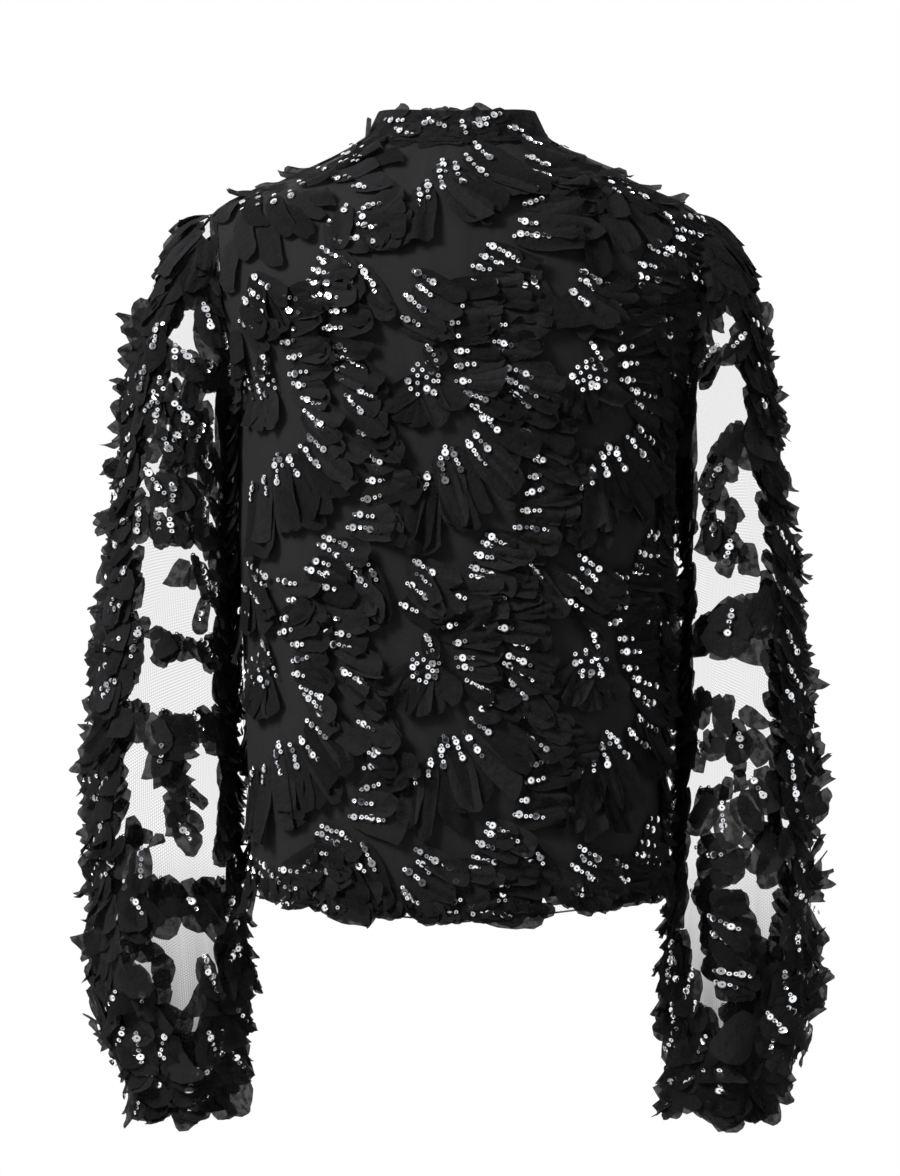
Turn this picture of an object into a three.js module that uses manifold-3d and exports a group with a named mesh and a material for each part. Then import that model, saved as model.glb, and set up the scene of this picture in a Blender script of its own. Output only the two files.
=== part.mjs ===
// A cropped, long-sleeved blouse of sheer net, worn in shape with nobody in it. The body is lined, the sleeves
// are not, and strips of petal-cut chiffon are sewn down the net in columns.
// Sizes are in millimetres and angles in degrees. +Z is up, the front faces -Y and the wearer's left is +X.
// The origin is the middle of the neck's base, between the two shoulder seams.
import * as THREE from "three";
import { mergeVertices } from "three/addons/utils/BufferGeometryUtils.js";
import Module from "manifold-3d";

const wasm = await Module();
wasm.setup();

const NET = 1; // thickness of the net's wall
const LINING = 1; // thickness of the lining's wall
const CHIFFON = 1.1; // thickness of a ruffle's wall
const SEAM = 0.4; // gap between pieces that are sewn together
const FULL = 90; // angle from the centre back, or the centre front, to a side seam

const SHOULDER = -53; // height of the shoulder's tip
const UNDERARM = -190; // height of the armhole's lowest point
const HEM = -541;
const LINING_HEM = -530; // the lining stops this high, so the net shows below it
const ARMHOLE = { topX: 173, bottomX: 160.5, halfDepth: 48 };
const COLLAR = { height: 19, topWidth: 57, topBack: 49, topFront: 54, gap: 3 };
const SLIT = { length: 140, topHalf: 1.5, bottomHalf: 0.5 }; // the neck's opening, down the centre front
const CUFF = { x: 193, y: -23, top: -684.5, height: 15, radius: 28.5, wall: 1.5 };
const BUTTON = { radius: 4.5, dome: 2.6, shank: 1.6, x: -8.5 };
const LOOP = { wire: 0.6, out: 1.3, half: 3.2 };

// The body's sections. Width and depths are from the middle outwards, round is the section's exponent (2 is an
// ellipse), and the dips lower the section's centre back and centre front. Between the underarm and the
// shoulder the width is worked out from the armhole instead.
const BODY = [
  { height: -541, width: 148, back: 101, front: 112, round: 2.3, dipBack: 11, dipFront: 6 },
  { height: -470, width: 151, back: 102, front: 115, round: 2.3, dipBack: 4, dipFront: 2 },
  { height: -400, width: 154, back: 103, front: 119, round: 2.3, dipBack: 0, dipFront: 0 },
  { height: -320, width: 157, back: 105, front: 124, round: 2.3, dipBack: 0, dipFront: 0 },
  { height: -250, width: 159, back: 107, front: 127, round: 2.3, dipBack: 0, dipFront: 0 },
  { height: -190, width: 160.5, back: 108, front: 124, round: 2.3, dipBack: 0, dipFront: 0 },
  { height: -150, width: 165, back: 107, front: 118, round: 2.2, dipBack: 0, dipFront: 5 },
  { height: -110, width: 170, back: 102, front: 108, round: 2.1, dipBack: 0, dipFront: 14 },
  { height: -80, width: 172, back: 95, front: 98, round: 1.9, dipBack: 1, dipFront: 24 },
  { height: -53, width: 173, back: 86, front: 87, round: 1.75, dipBack: 2, dipFront: 35 },
  { height: -32, width: 131, back: 76, front: 76, round: 1.7, dipBack: 3, dipFront: 43 },
  { height: -13, width: 90, back: 64, front: 67, round: 1.8, dipBack: 4, dipFront: 49 },
  { height: 0, width: 66, back: 56, front: 62, round: 2.0, dipBack: 5, dipFront: 52 },
];
const BODY_ROWS = [HEM, -485, -430, -375, -320, -265, -220, -190, -179, -160, -135, -105, -80, -63, -56, -53, -39, -25, -12, 0];
const BODY_COLUMNS = 16;

// A sleeve's sections, from the armhole to the cuff's seam: where its outer and inner lines run as seen from
// behind, half its depth, the middle of its depth, and how deep its gathers are at the head and the wrist. Slim
// is how much nearer the body the right sleeve's outer line runs.
const SLEEVE = [
  { height: 0, outerX: 173, slim: 0, outerZ: -53, innerX: 160.5, innerZ: -190, depth: 48, middle: 0, head: 0, wrist: 0 },
  { height: 1, outerX: 190, slim: 4, outerZ: -61, innerX: 163, innerZ: -196, depth: 51, middle: 0, head: 2, wrist: 0 },
  { height: 2, outerX: 207, slim: 6, outerZ: -81, innerX: 165, innerZ: -206, depth: 53, middle: 0, head: 1.6, wrist: 0 },
  { height: 3, outerX: 219, slim: 7, outerZ: -110, innerX: 166, innerZ: -222, depth: 55, middle: 0, head: 1, wrist: 0 },
  { height: 4, outerX: 228, slim: 9, outerZ: -147, innerX: 166.5, innerZ: -245, depth: 55, middle: 0, head: 0.4, wrist: 0 },
  { height: 5, outerX: 235, slim: 10, outerZ: -192, innerX: 166.5, innerZ: -277, depth: 54, middle: -1, head: 0, wrist: 0 },
  { height: 6, outerX: 241, slim: 10, outerZ: -247, innerX: 166, innerZ: -315, depth: 53, middle: -2, head: 0, wrist: 0 },
  { height: 7, outerX: 248, slim: 9, outerZ: -303, innerX: 165, innerZ: -357, depth: 53, middle: -4, head: 0, wrist: 0 },
  { height: 8, outerX: 256, slim: 10, outerZ: -360, innerX: 163.5, innerZ: -400, depth: 54, middle: -7, head: 0, wrist: 0 },
  { height: 9, outerX: 261, slim: 10, outerZ: -418, innerX: 162, innerZ: -446, depth: 55, middle: -10, head: 0, wrist: 0.2 },
  { height: 10, outerX: 263, slim: 9, outerZ: -475, innerX: 160, innerZ: -492, depth: 56, middle: -13, head: 0, wrist: 0.6 },
  { height: 11, outerX: 261, slim: 7, outerZ: -533, innerX: 157, innerZ: -539, depth: 57, middle: -16, head: 0, wrist: 1.2 },
  { height: 12, outerX: 260, slim: 5, outerZ: -583, innerX: 152, innerZ: -584, depth: 56, middle: -19, head: 0, wrist: 1.8 },
  { height: 13, outerX: 256, slim: 3, outerZ: -626, innerX: 150, innerZ: -626, depth: 53, middle: -21, head: 0, wrist: 2.4 },
  { height: 14, outerX: 247, slim: 1, outerZ: -658, innerX: 155, innerZ: -659, depth: 44, middle: -22, head: 0, wrist: 2.4 },
  { height: 15, outerX: 221.5, slim: 0, outerZ: -684, innerX: 164.5, innerZ: -684, depth: 28.5, middle: -23, head: 0, wrist: 0.8 },
];
const SLEEVE_ROWS = SLEEVE.length - 1;
const SLEEVE_COLUMNS = 28;
const SLEEVE_GATHERS = 7;

// The ruffles on the body. Root is the angle of the sewn line from the centre back, or from the centre front,
// reach is how wide the petals are and which way they point, and sway is how far the line meanders.
const BACK_RUFFLES = [
  { root: 50, reach: 34, from: -529, to: -46, sway: 3, waves: 9 },
  { root: 47, reach: -36, from: -533, to: -18, sway: 3, waves: 9 },
  { root: -3, reach: 33, from: -531, to: -12, sway: -4, waves: 9 },
  { root: -7, reach: -38, from: -535, to: -12, sway: -4, waves: 9 },
  { root: -57, reach: 33, from: -533, to: -22, sway: 3, waves: 9 },
  { root: -60, reach: -22, from: -527, to: -50, sway: 2, waves: 9 },
];
const FRONT_RUFFLES = [
  { root: 27, reach: 33, from: -533, to: -20, sway: -3, waves: 9 },
  { root: 24, reach: -30, from: -531, to: -12, sway: -3, waves: 9 },
  { root: 72, reach: -30, from: -527, to: -200, sway: 2, waves: 9 },
];
const RUFFLE = { root: 0.65, droop: 9, notchReach: 0.6, notchLift: 0.12, bodyLift: 8, curl: 1.6 };
// The ruffles on a sleeve. Root is the angle from the outer line, + towards the back, and from and to are rows
// of the sleeve's sections.
const SLEEVE_RUFFLES = [
  { root: 40, reach: -26, from: 1.6, to: 13.7, sway: 4, waves: 7, lift: 11 },
  { root: 124, reach: 26, from: 3.4, to: 13.7, sway: -4, waves: 7, lift: 7 },
  { root: -40, reach: 26, from: 1.6, to: 13.7, sway: -4, waves: 7, lift: 11 },
  { root: -124, reach: -26, from: 3.4, to: 13.7, sway: 4, waves: 7, lift: 7 },
];
const COLLAR_RUFFLE = { waves: 10, root: 0.2, tip: 1.1, lift: 3, from: -164, to: 164 };
const WRIST_RUFFLE = { waves: 10, root: 14, swell: 14.8, out: 7, radius: 44, drop: 24 };

const { degToRad: rad, radToDeg: deg, lerp, clamp } = THREE.MathUtils;
const vector = (x, y, z) => new THREE.Vector3(x, y, z);

// A column of a table at a height, on a smooth curve through the table's rows.
function read(table, column, height) {
  const last = table.length - 1;
  const at = clamp(height, table[0].height, table[last].height);
  let k = 0;
  while (k < last - 1 && table[k + 1].height < at) k++;
  const slope = (i) => {
    const low = table[Math.max(i - 1, 0)];
    const high = table[Math.min(i + 1, last)];
    return (high[column] - low[column]) / (high.height - low.height);
  };
  const [a, b] = [table[k], table[k + 1]];
  const step = b.height - a.height;
  const t = (at - a.height) / step;
  const rise = t * t * (3 - 2 * t);
  const leave = t * (1 - t) * (1 - t) * step;
  const arrive = t * t * (1 - t) * step;
  return a[column] + (b[column] - a[column]) * rise + slope(k) * leave - slope(k + 1) * arrive;
}

// The direction out of a surface at a place, from the two directions along it.
function outward(surface, u, v, du, dv) {
  const across = surface(u + du, v).sub(surface(u - du, v));
  const up = surface(u, v + dv).sub(surface(u, v - dv));
  return across.cross(up).normalize();
}

// The armhole lies in one slanting plane, as an ellipse seen from the side.
const armholeMiddle = (SHOULDER + UNDERARM) / 2;
const armholeHalf = (SHOULDER - UNDERARM) / 2;
const armholeX = (height) => lerp(ARMHOLE.bottomX, ARMHOLE.topX, (height - UNDERARM) / (SHOULDER - UNDERARM));

function armholeOpen(height) {
  const t = (height - armholeMiddle) / armholeHalf;
  return Math.abs(t) < 1 ? ARMHOLE.halfDepth * Math.sqrt(1 - t * t) : 0;
}

// A point of the body's outer face. The angle is from the centre back, + towards the wearer's left.
function bodyPoint(angle, height) {
  const [sin, cos] = [Math.sin(rad(angle)), Math.cos(rad(angle))];
  const side = cos >= 0 ? "back" : "front";
  const depth = read(BODY, side, height);
  const round = read(BODY, "round", height);
  const open = armholeOpen(height);
  const width = open ? armholeX(height) / (1 - (open / depth) ** round) ** (1 / round) : read(BODY, "width", height);
  const reach = ((Math.abs(sin) / width) ** round + (Math.abs(cos) / depth) ** round) ** (-1 / round);
  const dip = read(BODY, cos >= 0 ? "dipBack" : "dipFront", height) * cos * cos;
  return vector(reach * sin, reach * cos, height - dip);
}

// The body's point moved out from its face.
function bodyOut(angle, height, out) {
  const low = clamp(height, HEM + 1, -1);
  const normal = outward(bodyPoint, angle, low, -0.5, 0.8);
  return bodyPoint(angle, height).addScaledVector(normal, out);
}

// Where a panel ends at a height: at its armhole, or at its side or shoulder seam.
function edgeAngle(height) {
  const open = armholeOpen(height);
  if (open) return deg(Math.atan2(armholeX(height), open));
  return FULL - deg(SEAM / 2 / read(BODY, "width", height));
}

// The closed wall of a piece of cloth, or of a tube where it is round: an outer face and an inner one on the same
// grid of columns and rows, joined along their edges. pointAt gives its points.
function wall(columns, rows, pointAt, round = false) {
  const across = round ? columns : columns + 1;
  const skin = across * (rows + 1);
  const at = (column, row) => row * across + (column % across);
  const points = [];
  for (const inner of [false, true])
    for (let row = 0; row <= rows; row++)
      for (let column = 0; column < across; column++) points.push(pointAt(column, row, inner));

  const index = [];
  const quad = (a, b, c, d) => index.push(a, b, c, a, c, d);
  for (let row = 0; row < rows; row++)
    for (let column = 0; column < columns; column++) {
      const [a, b] = [at(column, row), at(column + 1, row)];
      const [c, d] = [at(column + 1, row + 1), at(column, row + 1)];
      quad(a, b, c, d);
      index.push(skin + a, skin + c, skin + b, skin + a, skin + d, skin + c);
    }
  const rim = (p, q) => quad(q, p, skin + p, skin + q);
  for (let column = 0; column < columns; column++) {
    rim(at(column, 0), at(column + 1, 0));
    rim(at(column + 1, rows), at(column, rows));
  }
  for (let row = 0; row < rows && !round; row++) {
    rim(at(columns, row), at(columns, row + 1));
    rim(at(0, row + 1), at(0, row));
  }
  return new THREE.BufferGeometry().setFromPoints(points).setIndex(index);
}

function solid(geometry) {
  const bare = geometry.clone();
  bare.deleteAttribute("normal");
  bare.deleteAttribute("uv");
  const merged = mergeVertices(bare, 1e-4);
  const mesh = new wasm.Mesh({
    numProp: 3,
    vertProperties: merged.attributes.position.array,
    triVerts: new Uint32Array(merged.index.array),
  });
  return new wasm.Manifold(mesh);
}

function surfaceOf(made) {
  const mesh = made.getMesh();
  const geometry = new THREE.BufferGeometry();
  geometry.setAttribute("position", new THREE.BufferAttribute(mesh.vertProperties, 3));
  geometry.setIndex(new THREE.BufferAttribute(mesh.triVerts, 1));
  return geometry.toNonIndexed();
}

// A front or a back, or the lining inside it. Centre is 0 for the back and 180 for the front.
function bodyPanel(centre, rows, outer, thickness) {
  const columns = BODY_COLUMNS;
  return wall(columns, rows.length - 1, (column, row, inner) => {
    const edge = edgeAngle(rows[row]);
    const angle = centre + lerp(edge, -edge, column / columns);
    return bodyOut(angle, rows[row], -outer - (inner ? thickness : 0));
  });
}

// The neck's opening is a thin wedge through the front.
function slitCutter() {
  const top = 20;
  const low = bodyPoint(180, 0).z - SLIT.length;
  const outline = new THREE.Shape();
  outline.moveTo(-SLIT.topHalf, top);
  outline.lineTo(-SLIT.bottomHalf, low);
  outline.lineTo(SLIT.bottomHalf, low);
  outline.lineTo(SLIT.topHalf, top);
  const wedge = new THREE.ExtrudeGeometry(outline, { depth: 150, bevelEnabled: false });
  return wedge.rotateX(Math.PI / 2).translate(0, -20, 0);
}

// A point of the collar's outer face, with up from 0 at its seam to 1 at its top edge.
function collarPoint(angle, up) {
  const [sin, cos] = [Math.sin(rad(angle)), Math.cos(rad(angle))];
  const base = bodyPoint(angle, 0);
  const depth = cos >= 0 ? COLLAR.topBack : COLLAR.topFront;
  const top = 1 / Math.hypot(sin / COLLAR.topWidth, cos / depth);
  const reach = lerp(Math.hypot(base.x, base.y), top, up);
  return vector(reach * sin, reach * cos, base.z + SEAM + COLLAR.height * up);
}

const collarOut = (angle, up, out) =>
  collarPoint(angle, up).addScaledVector(outward(collarPoint, angle, up, -0.5, 0.05), out);

function collar() {
  const [columns, rows] = [36, 2];
  const end = 180 - deg(COLLAR.gap / 2 / BODY[BODY.length - 1].front);
  return wall(columns, rows, (column, row, inner) =>
    collarOut(lerp(end, -end, column / columns), row / rows, inner ? -NET : 0),
  );
}

// A point of a sleeve's outer face, drawn as the left one. The angle is from its outer line, + towards the back,
// and slim is 1 for the right sleeve's shape.
function sleevePoint(angle, row, slim) {
  const at = (column) => read(SLEEVE, column, row);
  const outer = vector(at("outerX") - slim * at("slim"), 0, at("outerZ"));
  const inner = vector(at("innerX"), 0, at("innerZ"));
  const half = outer.distanceTo(inner) / 2;
  const side = outer.clone().sub(inner).normalize();
  const [sin, cos] = [Math.sin(rad(angle)), Math.cos(rad(angle))];
  const fold = Math.cos(rad(angle * SLEEVE_GATHERS));
  const gather = fold * (at("wrist") + at("head") * Math.max(cos, 0));
  return outer
    .add(inner)
    .multiplyScalar(0.5)
    .addScaledVector(side, (half + gather) * cos)
    .add(vector(SEAM + 0.2, at("middle") + (at("depth") + gather) * sin, 0));
}

// At the armhole the wall's thickness stays in the armhole's plane, so that it never reaches the body.
function sleeveOut(angle, row, out, slim) {
  const low = clamp(row, 0.05, SLEEVE_ROWS - 0.05);
  const normal = outward((a, r) => sleevePoint(a, r, slim), angle, low, 0.5, -0.05);
  if (row === 0) {
    const along = vector(armholeHalf * 2, 0, ARMHOLE.bottomX - ARMHOLE.topX).normalize();
    normal.addScaledVector(along, -normal.dot(along)).normalize();
  }
  return sleevePoint(angle, row, slim).addScaledVector(normal, out);
}

function sleeve(slim) {
  const place = (column, row, inner) =>
    sleeveOut((column * 360) / SLEEVE_COLUMNS, SLEEVE_ROWS - row, inner ? -NET : 0, slim);
  return wall(SLEEVE_COLUMNS, SLEEVE_ROWS, place, true);
}

function cuff() {
  const [columns, rows] = [24, 1];
  const place = (column, row, inner) => {
    const angle = rad((column * 360) / columns);
    const radius = CUFF.radius - (inner ? CUFF.wall : 0);
    const height = CUFF.top - SEAM - (row ? 0 : CUFF.height);
    return vector(CUFF.x + SEAM + radius * Math.cos(angle), CUFF.y + radius * Math.sin(angle), height);
  };
  return wall(columns, rows, place, true);
}

// A ruffle's wall. Each wave is a petal, two columns lifted at their full reach, between notches that stay low.
// place(along, across, out) puts a point on the cloth, and across is in shares of the petals' reach.
function ruffle(waves, lift, place, round = false) {
  const [perWave, rows] = [3, 2];
  const pointAt = (column, row, inner) => {
    const notch = column % perWave === 0;
    const share = row / rows;
    const across = share * (notch ? RUFFLE.notchReach : 1);
    const rise = lift * share ** RUFFLE.curl * (notch ? RUFFLE.notchLift : 1);
    return place(column / (waves * perWave), across, RUFFLE.root + rise + (inner ? 0 : CHIFFON));
  };
  return wall(waves * perWave, rows, pointAt, round);
}

function bodyRuffle(centre, row) {
  const up = row.reach > 0;
  return ruffle(row.waves, RUFFLE.bodyLift, (along, across, out) => {
    const run = up ? along : 1 - along;
    const height = lerp(row.from, row.to, run);
    const line = centre + row.root + row.sway * Math.sin(run * 4 * Math.PI);
    const point = bodyPoint(line, height);
    const angle = line + deg((row.reach * across) / Math.hypot(point.x, point.y));
    return bodyOut(angle, Math.max(height - RUFFLE.droop * across, HEM), out);
  });
}

function sleeveRuffle(row, slim) {
  const down = row.reach > 0;
  return ruffle(row.waves, row.lift, (along, across, out) => {
    const run = down ? along : 1 - along;
    const at = lerp(row.from, row.to, run);
    const line = row.root + row.sway * Math.sin(run * 4 * Math.PI);
    const angle = line + deg((row.reach * across) / read(SLEEVE, "depth", at));
    const gathers = read(SLEEVE, "wrist", at) + read(SLEEVE, "head", at);
    return sleeveOut(angle, at, out + gathers, slim);
  });
}

// The ruffle round a wrist falls from the sleeve, swells out and hides the cuff.
function wristRuffle(slim) {
  const { waves, root, swell, out: bulge, radius, drop } = WRIST_RUFFLE;
  const hang = (along, across, out) => {
    const angle = 360 * (1 - along);
    const top = sleeveOut(angle, root, out + read(SLEEVE, "wrist", root) / 3, slim);
    const middle = sleeveOut(angle, swell, out + bulge, slim);
    const spread = radius + out;
    const x = CUFF.x + spread * Math.cos(rad(angle));
    const tip = vector(x, CUFF.y + spread * Math.sin(rad(angle)), CUFF.top - drop);
    return new THREE.QuadraticBezierCurve3(top, middle, tip).getPoint(across);
  };
  return ruffle(waves, 0, hang, true);
}

function collarRuffle() {
  const { waves, root, tip, lift, from, to } = COLLAR_RUFFLE;
  return ruffle(waves, lift, (along, across, out) =>
    collarOut(lerp(to, from, along), lerp(root, tip, across), out),
  );
}

// The button stands on the collar's end, and the loop from the other end passes round its shank.
function collarFront(x, up, out) {
  const angle = 180 - deg(x / BODY[BODY.length - 1].front);
  return collarOut(angle, up, out);
}

function neckButton() {
  const { radius, dome, shank } = BUTTON;
  const foot = SEAM;
  const neck = LOOP.out + LOOP.wire + 2 * SEAM;
  const profile = [
    [0, foot],
    [shank, foot],
    [shank, neck],
    [radius, neck + 0.5],
    [radius * 0.9, neck + dome * 0.6],
    [radius * 0.55, neck + dome * 0.92],
    [0, neck + dome],
  ].map(([x, y]) => new THREE.Vector2(x, y));
  const seat = collarFront(BUTTON.x, 0.5, 0);
  const normal = collarFront(BUTTON.x, 0.5, 1).sub(seat);
  const turn = new THREE.Quaternion().setFromUnitVectors(vector(0, 1, 0), normal);
  return new THREE.LatheGeometry(profile, 16).applyQuaternion(turn).translate(seat.x, seat.y, seat.z);
}

function neckLoop() {
  const rise = LOOP.half / COLLAR.height;
  const bight = BUTTON.x - BUTTON.shank - LOOP.wire - 2 * SEAM;
  const route = [
    [6.5, rise],
    [2, rise],
    [BUTTON.x, rise],
    [bight, 0],
    [BUTTON.x, -rise],
    [2, -rise],
    [6.5, -rise],
  ].map(([x, up]) => collarFront(x, 0.5 + up, LOOP.out));
  const section = new THREE.Shape();
  section.absarc(0, 0, LOOP.wire, 0, 2 * Math.PI);
  const extrudePath = new THREE.CatmullRomCurve3(route);
  return new THREE.ExtrudeGeometry(section, { steps: 18, curveSegments: 3, extrudePath });
}

const BLACK_NET = new THREE.MeshStandardMaterial({ color: 0x1d1d1f, roughness: 0.85, metalness: 0 });
const BLACK_LINING = new THREE.MeshStandardMaterial({ color: 0x262628, roughness: 0.7, metalness: 0 });
const BLACK_CHIFFON = new THREE.MeshStandardMaterial({ color: 0x1a1a1b, roughness: 0.9, metalness: 0 });
const BLACK_BUTTON = new THREE.MeshStandardMaterial({ color: 0x151516, roughness: 0.4, metalness: 0 });

const blouse = new THREE.Group();
function add(name, geometry, material, parent = blouse) {
  const mesh = new THREE.Mesh(geometry, material);
  mesh.name = name;
  parent.add(mesh);
  return mesh;
}

const liningRows = [LINING_HEM, ...BODY_ROWS.slice(1)];
const liningOut = NET + SEAM;
const slit = solid(slitCutter());
const withSlit = (geometry) => surfaceOf(solid(geometry).subtract(slit));
add("back", bodyPanel(0, BODY_ROWS, 0, NET), BLACK_NET);
add("front", withSlit(bodyPanel(180, BODY_ROWS, 0, NET)), BLACK_NET);
add("lining_back", bodyPanel(0, liningRows, liningOut, LINING), BLACK_LINING);
add("lining_front", withSlit(bodyPanel(180, liningRows, liningOut, LINING)), BLACK_LINING);
add("collar", collar(), BLACK_NET);
add("ruffle_collar", collarRuffle(), BLACK_CHIFFON);
add("neck_button", neckButton(), BLACK_BUTTON);
add("neck_loop", neckLoop(), BLACK_BUTTON);

BACK_RUFFLES.forEach((row, i) => add(`ruffle_back_${i + 1}`, bodyRuffle(0, row), BLACK_CHIFFON));
const mirrored = FRONT_RUFFLES.map((row) => ({ ...row, root: -row.root, reach: -row.reach, sway: -row.sway }));
[...FRONT_RUFFLES, ...mirrored].forEach((row, i) =>
  add(`ruffle_front_${i + 1}`, bodyRuffle(180, row), BLACK_CHIFFON),
);

// The right arm is drawn as a left one and mirrored.
for (const [side, slim] of [["left", 0], ["right", 1]]) {
  const arm = new THREE.Group();
  arm.scale.x = slim ? -1 : 1;
  add(`sleeve_${side}`, sleeve(slim), BLACK_NET, arm);
  add(`cuff_${side}`, cuff(), BLACK_NET, arm);
  SLEEVE_RUFFLES.forEach((row, i) =>
    add(`ruffle_sleeve_${side}_${i + 1}`, sleeveRuffle(row, slim), BLACK_CHIFFON, arm),
  );
  add(`ruffle_wrist_${side}`, wristRuffle(slim), BLACK_CHIFFON, arm);
  blouse.add(arm);
}

export default blouse;
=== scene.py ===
# %% [markdown]
# # A sheer black blouse, covered with chiffon petals and sequins
# The blouse hangs as if somebody wore it. Its body and sleeves are fine net, the body has a plain lining,
# and hundreds of small chiffon scraps are sewn on by short rows of sequins. The imported frame gives every
# piece its place and size, in metres, so the first cell only loads it and keeps its meshes.

# %% Load the frame
import math
import random

import bmesh
import bpy
import numpy as np
from mathutils import Matrix, Vector


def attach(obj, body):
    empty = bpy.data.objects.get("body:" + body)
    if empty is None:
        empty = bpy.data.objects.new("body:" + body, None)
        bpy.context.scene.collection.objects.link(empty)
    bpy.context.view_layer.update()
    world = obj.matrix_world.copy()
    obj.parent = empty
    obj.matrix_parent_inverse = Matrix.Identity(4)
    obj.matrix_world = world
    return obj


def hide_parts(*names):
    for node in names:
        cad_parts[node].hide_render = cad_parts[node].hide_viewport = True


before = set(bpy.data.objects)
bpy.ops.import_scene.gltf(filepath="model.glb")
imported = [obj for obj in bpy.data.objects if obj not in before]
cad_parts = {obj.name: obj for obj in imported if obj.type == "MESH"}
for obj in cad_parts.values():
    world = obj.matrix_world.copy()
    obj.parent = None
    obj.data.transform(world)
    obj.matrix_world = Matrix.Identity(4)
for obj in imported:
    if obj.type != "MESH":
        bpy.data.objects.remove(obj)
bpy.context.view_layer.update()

MM = 0.001
print("nodes:", len(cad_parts))

# %% [markdown]
# ## The pattern pieces as surfaces
# A dressmaker's block gives the garment's width and depth at each height. The same two tables shaped the
# CAD walls, so a function reads them here again: whatever is laid on the cloth then follows it exactly.
# Reading them with numpy answers thousands of points in one call, which a loop over vertices would do
# slowly.

# %% Tables of sections, in millimetres
BODY = dict(
    height=(-541, -470, -400, -320, -250, -190, -150, -110, -80, -53, -32, -13, 0),
    width=(148, 151, 154, 157, 159, 160.5, 165, 170, 172, 173, 131, 90, 66),
    back=(101, 102, 103, 105, 107, 108, 107, 102, 95, 86, 76, 64, 56),
    front=(112, 115, 119, 124, 127, 124, 118, 108, 98, 87, 76, 67, 62),
    round=(2.3, 2.3, 2.3, 2.3, 2.3, 2.3, 2.2, 2.1, 1.9, 1.75, 1.7, 1.8, 2.0),
    dip_back=(11, 4, 0, 0, 0, 0, 0, 0, 1, 2, 3, 4, 5),
    dip_front=(6, 2, 0, 0, 0, 0, 5, 14, 24, 35, 43, 49, 52),
)
SLEEVE = dict(
    height=tuple(range(16)),
    outer_x=(173, 190, 207, 219, 228, 235, 241, 248, 256, 261, 263, 261, 260, 256, 247, 221.5),
    slim=(0, 4, 6, 7, 9, 10, 10, 9, 10, 10, 9, 7, 5, 3, 1, 0),
    outer_z=(-53, -61, -81, -110, -147, -192, -247, -303, -360, -418, -475, -533, -583, -626, -658, -684),
    inner_x=(160.5, 163, 165, 166, 166.5, 166.5, 166, 165, 163.5, 162, 160, 157, 152, 150, 155, 164.5),
    inner_z=(-190, -196, -206, -222, -245, -277, -315, -357, -400, -446, -492, -539, -584, -626, -659, -684),
    depth=(48, 51, 53, 55, 55, 54, 53, 53, 54, 55, 56, 57, 56, 53, 44, 28.5),
    middle=(0, 0, 0, 0, 0, -1, -2, -4, -7, -10, -13, -16, -19, -21, -22, -23),
    head=(0, 2, 1.6, 1, 0.4, 0, 0, 0, 0, 0, 0, 0, 0, 0, 0, 0),
    wrist=(0, 0, 0, 0, 0, 0, 0, 0, 0, 0.2, 0.6, 1.2, 1.8, 2.4, 2.4, 0.8),
)
HEM, LINING_HEM, SHOULDER, UNDERARM = -541, -530, -53, -190
ARM_TOP_X, ARM_BOTTOM_X, ARM_HALF = 173, 160.5, 48
SEAM = 0.4
COLLAR_HEIGHT, COLLAR_TOP_X, COLLAR_TOP_BACK, COLLAR_TOP_FRONT = 19, 57, 49, 54
CUFF_X, CUFF_Y, CUFF_TOP = 193, -23, -684.5
FLARE_RADIUS, FLARE_DROP, FLARE_OUT = 44, 24, 7


def read(table, name, at):
    """A column at a height, on a smooth curve through the table's rows."""
    heights = np.array(table["height"], float)
    values = np.array(table[name], float)
    at = np.clip(at, heights[0], heights[-1])
    k = np.clip(np.searchsorted(heights, at, side="left") - 1, 0, len(heights) - 2)
    low = np.maximum(np.arange(len(heights)) - 1, 0)
    high = np.minimum(np.arange(len(heights)) + 1, len(heights) - 1)
    slope = (values[high] - values[low]) / (heights[high] - heights[low])
    step = heights[k + 1] - heights[k]
    t = (at - heights[k]) / step
    rise = t * t * (3 - 2 * t)
    bend = slope[k] * t * (1 - t) ** 2 * step - slope[k + 1] * t * t * (1 - t) * step
    return values[k] + (values[k + 1] - values[k]) * rise + bend


# %% The body, the sleeves and the collar
def armhole_open(height):
    t = (height - (SHOULDER + UNDERARM) / 2) / ((SHOULDER - UNDERARM) / 2)
    return ARM_HALF * np.sqrt(np.maximum(1 - t * t, 0))


def armhole_x(height):
    return ARM_BOTTOM_X + (ARM_TOP_X - ARM_BOTTOM_X) * (height - UNDERARM) / (SHOULDER - UNDERARM)


def body_point(angle, height):
    """A point of the body. The angle is from the centre back, + towards the wearer's left."""
    sin, cos = np.sin(np.radians(angle)), np.cos(np.radians(angle))
    depth = np.where(cos >= 0, read(BODY, "back", height), read(BODY, "front", height))
    power = read(BODY, "round", height)
    gap = armhole_open(height)
    at_arm = armhole_x(height) / (1 - (gap / depth) ** power) ** (1 / power)
    width = np.where(gap > 0, at_arm, read(BODY, "width", height))
    reach = ((abs(sin) / width) ** power + (abs(cos) / depth) ** power) ** (-1 / power)
    dip = np.where(cos >= 0, read(BODY, "dip_back", height), read(BODY, "dip_front", height))
    return np.stack([reach * sin, reach * cos, height - dip * cos * cos], -1)


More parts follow.
